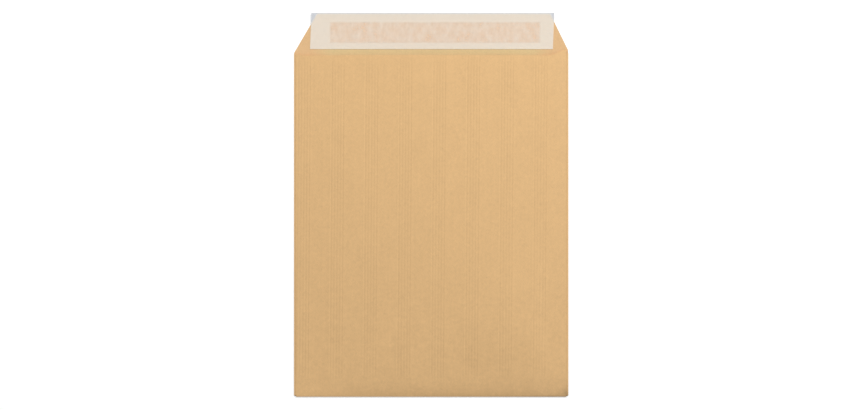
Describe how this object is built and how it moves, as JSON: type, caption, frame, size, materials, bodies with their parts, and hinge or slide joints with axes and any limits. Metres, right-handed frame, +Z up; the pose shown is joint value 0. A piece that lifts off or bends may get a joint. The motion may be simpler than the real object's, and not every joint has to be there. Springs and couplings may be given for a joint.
{
  "type": "kraft envelope",
  "caption": "Side-seam kraft paper pocket envelope, lying open with its closing flap up and a release strip over the flap's adhesive band.",
  "frame": {"origin": "centre of the front panel's outer face, midway between the side folds and between the bottom fold and the flap's crease", "axes": "+Y from the bottom fold to the flap's tip, +X across the pocket, +Z up through the panels, away from the front panel's outer face"},
  "size_m": [0.26, 0.364, 0.0079],
  "materials": {
    "kraft_paper": "matte",
    "seam_glue": "matte",
    "adhesive": "gloss",
    "glassine": "satin"
  },
  "bodies": {
    "root": {"envelope": "kraft_paper", "seam_glue_left": "seam_glue", "seam_glue_right": "seam_glue", "flap_adhesive": "adhesive", "release_liner": "glassine"}
  },
  "joints": []
}
